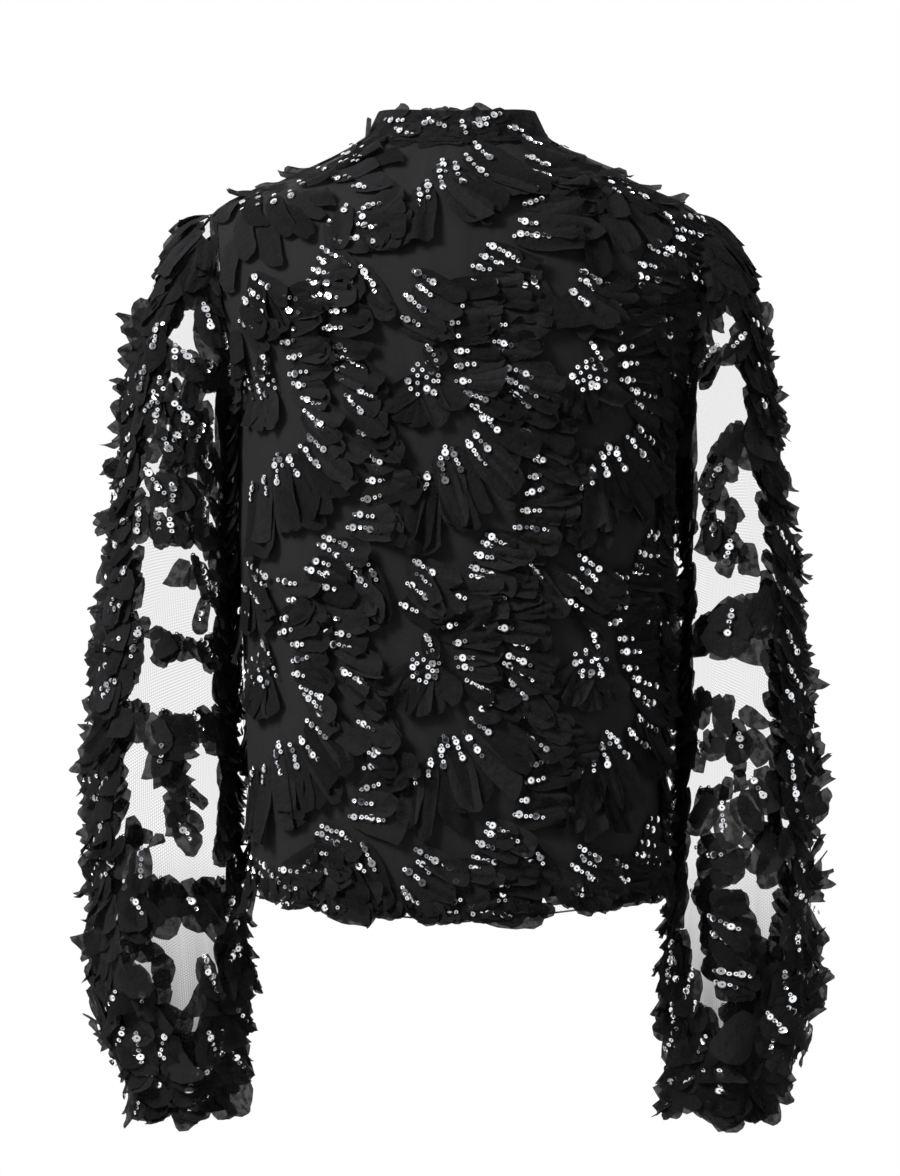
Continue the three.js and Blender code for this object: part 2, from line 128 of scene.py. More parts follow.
def sleeve_point(angle, row, slim=0):
    """A point of the left sleeve. The angle is from its outer line, + towards the back."""
    sin, cos = np.sin(np.radians(angle)), np.cos(np.radians(angle))
    outer_x = read(SLEEVE, "outer_x", row) - slim * read(SLEEVE, "slim", row)
    outer_z = read(SLEEVE, "outer_z", row)
    inner_x, inner_z = read(SLEEVE, "inner_x", row), read(SLEEVE, "inner_z", row)
    half = np.hypot(outer_x - inner_x, outer_z - inner_z) / 2
    fold = np.cos(np.radians(angle * 7))
    gather = fold * (read(SLEEVE, "wrist", row) + read(SLEEVE, "head", row) * np.maximum(cos, 0))
    share = (half + gather) * cos / half / 2
    x = (outer_x + inner_x) / 2 + (outer_x - inner_x) * share + SEAM + 0.2
    z = (outer_z + inner_z) / 2 + (outer_z - inner_z) * share
    y = read(SLEEVE, "middle", row) + (read(SLEEVE, "depth", row) + gather) * sin
    return np.stack([x, y, z], -1)


def collar_point(angle, up):
    """A point of the collar, with up from 0 at its seam to 1 at its top edge."""
    sin, cos = np.sin(np.radians(angle)), np.cos(np.radians(angle))
    base = body_point(angle, np.zeros_like(angle))
    depth = np.where(cos >= 0, COLLAR_TOP_BACK, COLLAR_TOP_FRONT)
    top = 1 / np.hypot(sin / COLLAR_TOP_X, cos / depth)
    bottom = np.hypot(base[..., 0], base[..., 1])
    reach = bottom + (top - bottom) * up
    return np.stack([reach * sin, reach * cos, base[..., 2] + SEAM + COLLAR_HEIGHT * up], -1)


def raised(surface, u, v, out, du, dv, v_low, v_high):
    """Points moved out from a surface along its own normal."""
    inside = np.clip(v, v_low, v_high)
    across = surface(u + du, inside) - surface(u - du, inside)
    up = surface(u, inside + dv) - surface(u, inside - dv)
    normal = np.cross(across, up)
    normal /= np.linalg.norm(normal, axis=-1, keepdims=True)
    return surface(u, v) + normal * np.asarray(out)[..., None]


def body_cloth(u, v, out):
    return raised(body_point, u, v, out, -0.5, 0.8, HEM + 1, -1)


def left_cloth(u, v, out):
    return raised(sleeve_point, u, v, out, 0.5, -0.05, 0.05, 14.95)


def right_cloth(u, v, out):
    slim = lambda a, r: sleeve_point(a, r, 1)
    return raised(slim, u, v, out, 0.5, -0.05, 0.05, 14.95) * (-1, 1, 1)


def collar_cloth(u, v, out):
    return raised(collar_point, u, v, out, -0.5, 0.05, 0, 1)


def dressed_point(angle, row, slim=0):
    """The left sleeve's surface, but swelling out and falling over the cuff below row 14."""
    t = np.maximum((row - 14) / 2, 0)[..., None]
    top = sleeve_point(angle, np.minimum(row, 14), slim)
    low = np.full_like(top[..., 0], 14.8)
    out = np.full_like(low, FLARE_OUT)
    middle = raised(lambda a, r: sleeve_point(a, r, slim), angle, low, out, 0.5, -0.05, 0.05, 14.95)
    cos, sin = np.cos(np.radians(angle)), np.sin(np.radians(angle))
    rim_x, rim_y = CUFF_X + FLARE_RADIUS * cos, CUFF_Y + FLARE_RADIUS * sin
    tip = np.stack([rim_x, rim_y, CUFF_TOP - FLARE_DROP + 0 * cos], -1)
    return np.where(t > 0, (1 - t) ** 2 * top + 2 * t * (1 - t) * middle + t * t * tip, top)


def left_dress(u, v, out):
    return raised(dressed_point, u, v, out, 0.5, -0.05, 0.05, 15.9)


def right_dress(u, v, out):
    slim = lambda a, r: dressed_point(a, r, 1)
    return raised(slim, u, v, out, 0.5, -0.05, 0.05, 15.9) * (-1, 1, 1)


print("shoulder to shoulder:", 2 * round(float(body_point(np.array(90.0), np.array(-53.0))[0])), "mm")

# %% [markdown]
# ## Helpers for meshes and materials
# Each piece is drawn flat, in the cloth's own coordinates (across, along, out), and is then wrapped on the
# garment in one step, as a seamstress lays trimming on a pattern piece before it is sewn up. One function
# adds a shader node, and one turns a colour from a colour picker into the linear values that the renderer
# works with.

# %% Mesh helpers
def wrap(bm, cloth):
    """Moves a flat drawing on to the garment. Its points are (u, v, millimetres out)."""
    flat = np.array([v.co for v in bm.verts])
    places = cloth(flat[:, 0], flat[:, 1], flat[:, 2]) * MM
    for vert, place in zip(bm.verts, places):
        vert.co = place


def finish(bm, name, material, slot, replaces=(), smooth=True):
    mesh = bpy.data.meshes.new(name)
    bm.to_mesh(mesh)
    bm.free()
    if smooth:
        mesh.shade_smooth()
    mesh.materials.append(material)
    piece = bpy.data.objects.new(name, mesh)
    bpy.context.scene.collection.objects.link(piece)
    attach(piece, "root")
    if replaces:
        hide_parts(*replaces)
    area = sum(face.area for face in mesh.polygons)
    print(name, "has", len(mesh.polygons), "faces and", round(area, 4), "square metres")
    return piece


# %% Material helpers
def linear(colour):
    """An sRGB hex colour as the linear RGBA that a shader takes."""
    parts = [int(colour[i : i + 2], 16) / 255 for i in (1, 3, 5)]
    return [*[c / 12.92 if c <= 0.04045 else ((c + 0.055) / 1.055) ** 2.4 for c in parts], 1]


def add(tree, kind, settings=None, **inputs):
    """Adds a node, with its settings and its inputs: a value, or another node's output."""
    node = tree.nodes.new(kind)
    for key, value in (settings or {}).items():
        setattr(node, key, value)
    for key, value in inputs.items():
        index = int(key[1:]) if key[0] == "i" and key[1:].isdigit() else None
        socket = node.inputs[index if index is not None else key.replace("_", " ")]
        if isinstance(value, bpy.types.NodeSocket):
            tree.links.new(value, socket)
        else:
            socket.default_value = value
    return node


MULTIPLY_ADD = {"operation": "MULTIPLY_ADD"}


def new_material(name, **shader):
    material = bpy.data.materials.new(name)
    material.use_nodes = True
    tree = material.node_tree
    tree.nodes.clear()
    principled = add(tree, "ShaderNodeBsdfPrincipled", **shader)
    add(tree, "ShaderNodeOutputMaterial", Surface=principled.outputs[0])
    return material, tree, principled


# %% [markdown]
# ## Chiffon
# The scraps are crinkle chiffon: a sheer, matte cloth of twisted threads, left with raw edges. One layer
# lets a few hundredths of the light through, so a petal against the light looks dark grey and several look
# black. The alpha does that. The crinkle is a fine pebble of about a millimetre, made with noise, and a
# little sheen stands for the fuzz of the yarn.

# %% Chiffon material
chiffon, tree, shader = new_material(
    "crinkle_chiffon", Roughness=0.9, Sheen_Weight=0.03, Sheen_Roughness=0.5, Sheen_Tint=linear("#77777c"),
    Specular_IOR_Level=0.08,
)
where = add(tree, "ShaderNodeTexCoord")
here = where.outputs["Object"]
pebble = add(tree, "ShaderNodeTexNoise", Vector=here, Scale=900.0, Detail=2.0, Roughness=0.6)
crinkle = add(tree, "ShaderNodeTexNoise", Vector=here, Scale=170.0, Detail=2.0)
both = add(tree, "ShaderNodeMath", MULTIPLY_ADD, i0=crinkle.outputs[0], i1=2.5, i2=pebble.outputs[0])
bump = add(tree, "ShaderNodeBump", Height=both.outputs[0], Strength=0.8, Distance=0.0009)
tree.links.new(bump.outputs[0], shader.inputs["Normal"])
island = add(tree, "ShaderNodeNewGeometry")
shade = add(tree, "ShaderNodeMapRange", i0=island.outputs["Random Per Island"], To_Min=0.4, To_Max=1.3)
colour = add(
    tree, "ShaderNodeVectorMath", {"operation": "SCALE"}, i0=linear("#1c1c1d")[:3], Scale=shade.outputs[0]
)
tree.links.new(colour.outputs[0], shader.inputs["Base Color"])
opacity = add(
    tree, "ShaderNodeMapRange", i0=crinkle.outputs[0], From_Min=0.35, From_Max=0.6, To_Min=0.92, To_Max=0.985
)
tree.links.new(opacity.outputs[0], shader.inputs["Alpha"])

# %% [markdown]
# ## Net
# The net is tulle: hexagons of black thread about a millimetre and a half wide, so thin that a layer takes
# only a tenth of the light. A sum of three waves, 60 degrees apart, is low along the sides of a honeycomb,
# and a threshold on it draws the threads. The pattern reads the cloth's own UV map, in metres, so it
# follows the cloth.

# %% Net material
net, tree, shader = new_material(
    "tulle_net", Base_Color=linear("#161618"), Roughness=0.8, Specular_IOR_Level=0.1
)
cloth_uv = add(tree, "ShaderNodeUVMap", {"uv_map": "cloth"})
HEXAGON = 0.0016
waves = []
for turn in (0, 60, 120):
    k = 2 * math.pi / HEXAGON
    along = (k * math.cos(math.radians(turn)), k * math.sin(math.radians(turn)), 0)
    phase = add(tree, "ShaderNodeVectorMath", {"operation": "DOT_PRODUCT"}, i0=cloth_uv.outputs[0], i1=along)
    waves.append(add(tree, "ShaderNodeMath", {"operation": "COSINE"}, i0=phase.outputs["Value"]))
pair = add(tree, "ShaderNodeMath", {"operation": "ADD"}, i0=waves[0].outputs[0], i1=waves[1].outputs[0])
total = add(tree, "ShaderNodeMath", {"operation": "ADD"}, i0=pair.outputs[0], i1=waves[2].outputs[0])
thread = add(
    tree, "ShaderNodeMapRange", i0=total.outputs[0], From_Min=-1.5, From_Max=-0.6, To_Min=0.3, To_Max=0.035
)
place = add(tree, "ShaderNodeSeparateXYZ", i0=cloth_uv.outputs[0])
# Painted shade: the net grows more opaque, so darker, towards the wrist and in stripes along its pleats.
# Part of this is the gathered net being denser there, and part is painted shade from inside the wrist.
gathered = add(tree, "ShaderNodeMapRange", i0=place.outputs["Y"], From_Min=0.44, From_Max=0.62, To_Max=0.6)
pleats = add(
    tree, "ShaderNodeTexNoise", {"noise_dimensions": "1D"}, W=place.outputs["X"], Scale=90.0, Detail=2.0
)
denser_and_shaded = add(
    tree, "ShaderNodeMath", MULTIPLY_ADD, i0=gathered.outputs[0], i1=pleats.outputs[0], i2=thread.outputs[0]
)
both = add(tree, "ShaderNodeMath", MULTIPLY_ADD, i0=gathered.outputs[0], i1=0.4, i2=denser_and_shaded.outputs[0])
tree.links.new(both.outputs[0], shader.inputs["Alpha"])

# %% [markdown]
# ## Lining
# The lining is a matt, slightly stretchy woven cloth. It is opaque, a touch lighter than the chiffon where
# the light falls flat on it, and shows a very fine weave and soft, broad unevenness from hanging.

# %% Lining material
lining, tree, shader = new_material(
    "matt_woven_lining", Base_Color=linear("#252425"), Roughness=0.75, Sheen_Weight=0.02,
    Sheen_Roughness=0.5, Specular_IOR_Level=0.12,
)
cloth_uv = add(tree, "ShaderNodeUVMap", {"uv_map": "cloth"})
weft = add(tree, "ShaderNodeTexWave", {"bands_direction": "X"}, Vector=cloth_uv.outputs[0], Scale=520.0)
warp = add(tree, "ShaderNodeTexWave", {"bands_direction": "Y"}, Vector=cloth_uv.outputs[0], Scale=520.0)
weave = add(tree, "ShaderNodeMath", {"operation": "MULTIPLY"}, i0=weft.outputs[0], i1=warp.outputs[0])
long_folds = (38.0, 2.2, 1.0)
drop = add(tree, "ShaderNodeVectorMath", {"operation": "MULTIPLY"}, i0=cloth_uv.outputs[0], i1=long_folds)
folds = add(tree, "ShaderNodeTexNoise", Vector=drop.outputs[0], Scale=1.0, Detail=1.5)
hang = add(tree, "ShaderNodeMath", MULTIPLY_ADD, i0=folds.outputs[0], i1=22.0, i2=weave.outputs[0])
bump = add(tree, "ShaderNodeBump", Height=hang.outputs[0], Strength=0.6, Distance=0.0004)
tree.links.new(bump.outputs[0], shader.inputs["Normal"])

# %% [markdown]
# ## Sequins and button
# The sequins are cupped discs of polyester film with a vacuum-deposited aluminium face. Their brightness
# comes from what each one faces, and some are duller than others, so their tint differs from one to the
# next.

# %% Sequin and button materials
sequin, tree, shader = new_material("aluminised_film", Metallic=0.95, Roughness=0.14)
island = add(tree, "ShaderNodeNewGeometry")
tint = add(tree, "ShaderNodeValToRGB", Fac=island.outputs["Random Per Island"])
tint.color_ramp.interpolation = "LINEAR"
tint.color_ramp.elements[0].position = 0.0
tint.color_ramp.elements[0].color = linear("#26262e")
tint.color_ramp.elements[1].position = 0.72
tint.color_ramp.elements[1].color = linear("#fafafa")
tree.links.new(tint.outputs[0], shader.inputs["Base Color"])

button, tree, shader = new_material("satin_button", Base_Color=linear("#1d1d1f"), Roughness=0.35)
where = add(tree, "ShaderNodeTexCoord")
satin = add(tree, "ShaderNodeTexNoise", Vector=where.outputs["Object"], Scale=1500.0)
bump = add(tree, "ShaderNodeBump", Height=satin.outputs[0], Strength=0.3, Distance=0.0002)
tree.links.new(bump.outputs[0], shader.inputs["Normal"])

# %% [markdown]
# ## The net and the lining
# Every panel starts as a flat grid, which is bent round the garment. A sleeve's grid is closed along its
# inner line. Net and lining stay single sheets: real net is a fifth of a millimetre thick, and a second
# layer would darken every window in the sleeves.

# %% Panels
SLIT_BOTTOM = -140


def edge_angle(height):
    gap = armhole_open(height)
    at_arm = np.degrees(np.arctan2(armhole_x(height), np.maximum(gap, 1e-6)))
    return np.where(gap > 0, at_arm, 90 - np.degrees(SEAM / 2 / read(BODY, "width", height)))


ROUND = np.linspace(-180, 180, 721)
LENGTHS = np.linalg.norm(np.diff(body_point(ROUND, np.full(721, -300.0)), axis=0), axis=1)
GIRTH = np.concatenate([[0], np.cumsum(LENGTHS)])


def add_cloth_uv(bm, metres):
    """Writes the UV map in metres from each vertex's flat place."""
    layer = bm.loops.layers.uv.new("cloth")
    for face in bm.faces:
        for loop in face.loops:
            loop[layer].uv = metres(loop.vert.co)


def cut_slit(bm, hem):
    """Opens the middle of a front panel from the neck down, 3 mm wide at the top and 1 mm at the bottom."""
    bottom = 0.5 - SLIT_BOTTOM / hem
    middle = [e for e in bm.edges if all(abs(v.co.x) < 1e-6 and v.co.y > bottom - 1e-6 for v in e.verts)]
    bmesh.ops.split_edges(bm, edges=middle)
    for vert in bm.verts:
        if abs(vert.co.x) < 1e-6 and vert.co.y > bottom + 1e-6:
            side = math.copysign(1, sum(face.calc_center_median().x for face in vert.link_faces))
            vert.co.x = side * (0.0012 + 0.0028 * (vert.co.y - bottom) / (0.5 - bottom))


def body_panel(name, centre, hem, out, material, slot, replaces, columns=56, rows=88):
    bm = bmesh.new()
    bmesh.ops.create_grid(bm, x_segments=columns, y_segments=rows, size=0.5)
    if centre == 180:
        cut_slit(bm, hem)
    flat = np.array([v.co for v in bm.verts])
    height = hem * (0.5 - flat[:, 1])
    angle = centre - 2 * flat[:, 0] * edge_angle(height)
    for vert, a, h in zip(bm.verts, angle, height):
        vert.co = (a, h, out)
    add_cloth_uv(bm, lambda co: (np.interp((co.x + 180) % 360 - 180, ROUND, GIRTH) * MM, co.y * MM))
    wrap(bm, body_cloth)
    bmesh.ops.recalc_face_normals(bm, faces=bm.faces)
    return finish(bm, name, material, slot, replaces)


net_back = body_panel("net_back", 0, HEM, 0, net, "net", ["back"])
net_front = body_panel("net_front", 180, HEM, 0, net, "net", ["front"])
inside = LINING_HEM, -1.6, lining, "lining"
lining_panel_back = body_panel("lining_panel_back", 0, *inside, ["lining_back"])
lining_panel_front = body_panel("lining_panel_front", 180, *inside, ["lining_front"])


def sleeve_piece(name, cloth, replaces):
    bm = bmesh.new()
    bmesh.ops.create_grid(bm, x_segments=84, y_segments=110, size=0.5)
    for vert in bm.verts:
        vert.co = (180 + 360 * vert.co.x, 15 * (0.5 - vert.co.y), 0)
    add_cloth_uv(bm, lambda co: (co.x * 0.94 * MM, co.y * 42 * MM))
    wrap(bm, cloth)
    bmesh.ops.remove_doubles(bm, verts=bm.verts, dist=1e-6)
    bmesh.ops.recalc_face_normals(bm, faces=bm.faces)
    return finish(bm, name, net, "net", replaces)


net_sleeve_left = sleeve_piece("net_sleeve_left", left_cloth, ["sleeve_left"])
net_sleeve_right = sleeve_piece("net_sleeve_right", right_cloth, ["sleeve_right"])

# %% [markdown]
# ## Where the scraps are sewn
# The trimming is a repeat, about 117 mm wide and 210 mm high, so it is drawn once as a small chart and
# stepped over the cloth. The chart is kept as the garment is seen, in steps of 0.72 mm, and each place is
# looked up on the surface: the nearest of a fine grid of its points is close enough for a petal.

# %% Finding a place on the cloth
STEP = 0.72
DISTANCE = 2500.0
CHART_X, CHART_Y = 450, 588
EYE_X, EYE_Z = 5, -322.6
NEAR_ENOUGH = 5


def as_seen(points, side):
    """The chart's coordinates of points on the garment, from behind (1) or from the front (-1)."""
    near = DISTANCE / (DISTANCE - side * points[..., 1]) / STEP
    return CHART_X - side * (points[..., 0] - EYE_X) * near, CHART_Y - (points[..., 2] - EYE_Z) * near


class Chart:
    """One side of a surface as it is seen, which finds the place on the cloth under a point."""

    def __init__(self, cloth, u_range, v_range, side, lowest, counts=(220, 420), flat_above=0):
        self.cloth, self.side, self.lowest, self.flat_above = cloth, side, lowest, flat_above
        u, v = np.meshgrid(np.linspace(*u_range, counts[0]), np.linspace(*v_range, counts[1]))
        self.u, self.v = u.ravel(), v.ravel()
        zero = np.zeros(self.u.size)
        du, dv = 0.5, (v_range[1] - v_range[0]) / 1000
        here = cloth(self.u, self.v, zero)
        self.to_u = (cloth(self.u + du, self.v, zero) - here) / du
        self.to_v = (cloth(self.u, self.v + dv, zero) - here) / dv
        self.x, self.y = as_seen(here, side)
        normal = np.cross(self.to_u, self.to_v)
        self.facing = abs(normal[:, 1]) / np.linalg.norm(normal, axis=1)
        hem = np.argsort(self.x[: counts[0]])
        self.hem_x, self.hem_y = self.x[: counts[0]][hem], self.y[: counts[0]][hem]

    def low(self, x):
        """How low a petal may hang at x: to the hem, or to the chart's own lowest line."""
        return self.lowest or float(np.interp(x, self.hem_x, self.hem_y)) + 3

    def calm(self, place, lift):
        """Petals on the crest of a shoulder or a collar lie flatter."""
        if self.y[place] < self.flat_above:
            return lift * min(1, 0.1 + self.facing[place])
        return lift

    def find(self, x, y):
        """The number of the place at (x, y) on the chart, or None where there is no cloth."""
        far = (self.x - x) ** 2 + (self.y - y) ** 2
        best = int(np.argmin(far))
        return best if far[best] < NEAR_ENOUGH**2 else None

    def lay(self, place, heading, out):
        """The matrix that turns and moves a shape drawn in millimetres to its place on the flat cloth."""
        to_u, to_v = self.to_u[place], self.to_v[place]
        turn = math.radians(heading)
        aim = np.array([-self.side * math.cos(turn), 0, -math.sin(turn)])
        grid = np.array([[to_u @ to_u, to_u @ to_v], [to_u @ to_v, to_v @ to_v]])
        a, b = np.linalg.solve(grid, [to_u @ aim, to_v @ aim])
        ahead = to_u * a + to_v * b
        size = np.linalg.norm(ahead)
        sideways = np.cross(np.cross(to_u, to_v), ahead)
        c, d = np.linalg.solve(grid, [to_u @ sideways, to_v @ sideways]) / np.linalg.norm(sideways)
        u, v = self.u[place], self.v[place]
        return Matrix(((a / size, c, 0, u), (b / size, d, 0, v), (0, 0, 1, out), (0, 0, 0, 1)))


back_chart = Chart(body_cloth, (-89, 89), (HEM, -1), 1, None, flat_above=290)
front_chart = Chart(body_cloth, (91, 269), (HEM, -1), -1, None, flat_above=290)
left_chart = Chart(left_dress, (2, 178), (0.2, 15.7), 1, 1122)
right_chart = Chart(right_dress, (2, 178), (0.2, 15.7), 1, 1122)
left_far = Chart(left_dress, (-178, -2), (0.2, 15.7), -1, 1118)
right_far = Chart(right_dress, (-178, -2), (0.2, 15.7), -1, 1118)
collar_back = Chart(collar_cloth, (-89, 89), (0, 1), 1, 150, (220, 24), 999)
collar_front = Chart(collar_cloth, (91, 269), (0, 1), -1, 210, (220, 24), 999)

# %% [markdown]
# ## A petal and a sequin
# A petal is a tongue of chiffon, 9 to 28 mm wide and up to 60 mm long. It is a small grid of faces, drawn
# in to its root, rounded or cut square at its tip, rippled, and lifted more and more towards the tip. A
# sequin is a shallow cone with a hole, in two rings, so its rim and its cup catch the light differently.

# %% Petal and sequin shapes
rng = random.Random(4531)
LARGE, SMALL, PITCH = 2.65, 1.65, 3.6


class Trimming:
    """The petals and the sequins of one part of the garment. Each row is drawn small, then joined on."""

    def __init__(self):
        self.row = dict(petals=bmesh.new(), sequins=bmesh.new())
        self.whole = dict(petals=bmesh.new(), sequins=bmesh.new())

    def join(self):
        for kind, bm in self.row.items():
            if bm.verts:
                mesh = bpy.data.meshes.new("row")
                bm.to_mesh(mesh)
                self.whole[kind].from_mesh(mesh)
                bpy.data.meshes.remove(mesh)
                bm.clear()

    def finish(self, name, cloth, replaces):
        self.join()
        for bm in self.whole.values():
            wrap(bm, cloth)
        petals = finish(self.whole["petals"], "petals_" + name, chiffon, "chiffon", replaces)
        sequins = finish(self.whole["sequins"], "sequins_" + name, sequin, "chiffon", smooth=False)
        return [petals, sequins]


def add_petal(bm, place, length, width, lift, blunt=0.5):
    """A tongue of chiffon that curls out along an arc. Blunt is 0 for a round end and 1 for a square one."""
    made = bmesh.ops.create_grid(bm, x_segments=6, y_segments=6, size=0.5)["verts"]
    phase, ripples = rng.uniform(0, 6.3), rng.uniform(1.8, 4.0)
    loose = min(1, 0.2 + lift / 4)
    ripple, roll = loose * rng.uniform(0.8, 3.4), loose * rng.uniform(-2.0, 4.6)
    skew, bend, twist = rng.uniform(-0.12, 0.12), rng.uniform(-0.2, 0.2), rng.uniform(-0.35, 0.35)
    end = width / 2 * (1 - 0.8 * blunt)
    for vert in made:
        t, s = vert.co.x + 0.5, 2 * vert.co.y
        root = 0.55 + 0.45 * math.sin(min(1, t / 0.4) * math.pi / 2)
        ragged = rng.uniform(-0.5, 0.5) * (abs(s) > 0.9 or t > 0.95)
        along = length * t * (1 + skew * s) - end * t * t * (1 - math.sqrt(max(0, 1 - s * s)))
        along = max(along + ragged, 0)
        side = width / 2 * s * root + bend * length * t * t * 0.5 + ragged
        turn = max(2 * lift / length, 0.02) * (1 + twist * s)
        radius, bow = length / turn, turn * along / length
        x, z = radius * math.sin(bow), radius * (1 - math.cos(bow))
        z += ripple * t * math.sin(ripples * s * 1.6 + phase + 3 * t) + roll * s * s * t
        vert.co = (x, side, max(z, 0.1 - 0.2 * (1 - t)))
    bmesh.ops.transform(bm, matrix=place, verts=made)


def add_sequin(bm, place, radius):
    """A cup with a hole and a steep rim, tilted a little."""
    tilt = Matrix.Rotation(math.radians(rng.uniform(0, 14)), 4, "X")
    spin = Matrix.Rotation(rng.uniform(0, 6.3), 4, "Z")
    hole = 0.25 if radius > 2.3 else 0.4
    cup = (radius * 0.8, radius * hole, 0.05 * radius, -0.03 * radius)
    rim = (radius, radius * 0.8, 0.34 * radius, 0.17 * radius)
    for outer, inner, depth, middle in (cup, rim):
        bmesh.ops.create_cone(
            bm, cap_ends=False, segments=10, radius1=inner, radius2=outer, depth=depth,
            matrix=place @ spin @ tilt @ Matrix.Translation((0, 0, middle)),
        )


def fit(chart, x, y, heading, length):
    """The length that a petal can have before its tip hangs below the chart's lowest line."""
    fall = math.sin(math.radians(heading))
    room = (chart.low(x) - y) * STEP
    return length if fall * length < room else max(room, 0) / fall


def sew_row(trim, chart, x, y, heading, bend, count, tongue, width, lift, base=0.0):
    """A row of sequins along a petal's spine, with the petal reaching past its end."""
    spot = chart.find(x, y)
    if spot is None:
        return
    length = fit(chart, x, y, heading, count * PITCH + tongue)
    if length < 10:
        return
    count = min(count, int(length / 4))
    lift = chart.calm(spot, lift)
    if width:
        place = chart.lay(spot, heading + bend * count * 0.5, 0.5 + base)
        add_petal(trim.row["petals"], place, length, width, lift, rng.choice((0, 0.2, 0.4, 0.9)))
    for i in range(count):
        spot = chart.find(x, y)
        if spot is None:
            break
        radius = LARGE if i % 3 == 1 else SMALL
        high = 1.4 + base + lift * (i * PITCH / length) ** 1.4
        add_sequin(trim.row["sequins"], chart.lay(spot, heading, high), radius * rng.uniform(0.92, 1.05))
        gap = (radius + 2.0) / STEP
        x += gap * math.cos(math.radians(heading))
        y += gap * math.sin(math.radians(heading))
        heading += bend
    trim.join()


def sew_petal(trim, chart, x, y, heading, length, width, lift, blunt=0.6, base=0.4):
    """A single petal without sequins."""
    spot = chart.find(x, y)
    length = fit(chart, x, y, heading, length)
    if spot is not None and length > 10:
        lift = chart.calm(spot, lift)
        add_petal(trim.row["petals"], chart.lay(spot, heading, base), length, width, lift, blunt)
        trim.join()


# %% [markdown]
# ## The repeat
# Each line of the chart is one sewn row: its start, its heading in degrees (0 to the right, 90 down), how
# much it bends at each sequin, its number of sequins, and the length and width of the petal that it holds.

# %% The chart of one repeat
ROWS = (
    # dashes with tongues that point down to the right
    (2, 2, 33, 0, 5, 26, 15), (4, 14, 40, 0, 4, 30, 16), (-6, 23, 38, 0, 5, 24, 15),
    (-10, 46, 28, 0, 4, 24, 14),
    # long arcs
    (74, -25, 22, 3, 7, 12, 16), (70, -17, 24, 3, 12, 32, 17), (112, -6, 52, 3, 6, 30, 15),
    (62, -3, 15, 0, 4, 20, 15), (58, 8, 14, 0, 5, 22, 16), (58, 18, 12, 0, 6, 24, 17),
    (32, 19, 14, 0, 4, 26, 15),
    # a stack of level rows
    (82, 38, 0, 4, 3, 26, 16), (74, 54, -4, 0, 4, 28, 17), (70, 68, 4, 2, 6, 22, 17),
    (82, 80, 6, 4, 7, 22, 17), (90, 94, 14, 3, 6, 22, 17), (92, 106, 28, 2, 7, 20, 16),
    (98, 120, 40, 2, 5, 24, 16),
    # a stack of lobes
    (38, 36, 4, 0, 3, 26, 14), (35, 54, -10, 0, 3, 26, 14), (33, 68, -14, 0, 3, 26, 15),
    (42, 83, -8, 0, 3, 26, 15), (42, 97, -4, 0, 4, 22, 15), (44, 110, 8, 0, 3, 24, 15),
    (54, 122, 22, 0, 5, 22, 15), (58, 134, 34, 0, 5, 26, 15),
    # the dash that leads to the dome
    (14, 76, 64, 0, 4, 6, 12),
    # a fan of long petals
    (6, 206, 98, 0, 4, 40, 16), (16, 200, 92, 0, 4, 46, 17), (26, 186, 80, -2, 5, 44, 18),
    (40, 180, 68, -2, 5, 40, 17), (52, 172, 56, -2, 6, 36, 17), (60, 160, 46, 0, 5, 36, 17),
    (66, 146, 38, 0, 5, 34, 16), (30, 178, 74, 0, 3, 48, 18),
    # zigzag at the right
    (112, 142, 40, 0, 5, 22, 18), (110, 158, 30, 0, 4, 26, 18), (112, 176, 34, 0, 5, 26, 18),
    (120, 190, 20, 0, 4, 28, 17), (116, 206, -8, 0, 4, 30, 18), (112, 224, -16, 0, 4, 26, 18),
    (108, 240, 6, 0, 4, 26, 17), (100, 254, 4, 2, 7, 22, 18),
)
DOME = (12, 108, 15)
WIDE, HIGH = 163, 288


def sew_dome(trim, chart, x, y, radius):
    """A ring of sequins over a puff of gathered petals."""
    for ring, count in ((1, 11), (0.6, 6), (0.15, 1)):
        for i in range(count):
            turn = 2 * math.pi * (i + 0.5 * ring + rng.uniform(-0.25, 0.25)) / count
            reach = radius * ring * rng.uniform(0.85, 1.12)
            spot = chart.find(x + reach * math.cos(turn), y + reach * math.sin(turn))
            if spot is not None:
                size = 2.6 if i % 4 == 1 else SMALL
                add_sequin(trim.row["sequins"], chart.lay(spot, 0, 4.5 - 2.4 * ring), size)
    for heading in (70, 95, 120, 40, 150):
        sew_petal(trim, chart, x, y, heading, 34, 17, 3.5, 0.6, 0.8)


def sew_repeat(trim, chart, across, down, skip=lambda x, y: False):
    """The whole chart of one repeat, with its corner at (across, down)."""
    for x, y, heading, bend, count, tongue, width in ROWS:
        at_x, at_y = across + x + rng.uniform(-2, 2), down + y + rng.uniform(-2, 2)
        turn = heading + rng.uniform(-5, 5)
        if skip(at_x, at_y):
            continue
        reach, wide = tongue * rng.uniform(0.7, 1.0), width * rng.uniform(0.85, 1.1)
        lift, base = rng.uniform(3.0, 7.0), rng.uniform(0, 0.8)
        sew_row(trim, chart, at_x, at_y, turn, bend, count, reach, wide, lift, base)
        if rng.random() < 0.6:
            under = at_x + rng.uniform(-4, 8), at_y + rng.uniform(-2, 8), turn + rng.uniform(-30, 35)
            lift, blunt = rng.uniform(3, 6.5), rng.uniform(0.3, 0.9)
            sew_petal(trim, chart, *under, tongue + 10, width * 1.1, lift, blunt)
    if not skip(across + DOME[0], down + DOME[1]):
        sew_dome(trim, chart, across + DOME[0], down + DOME[1], DOME[2])


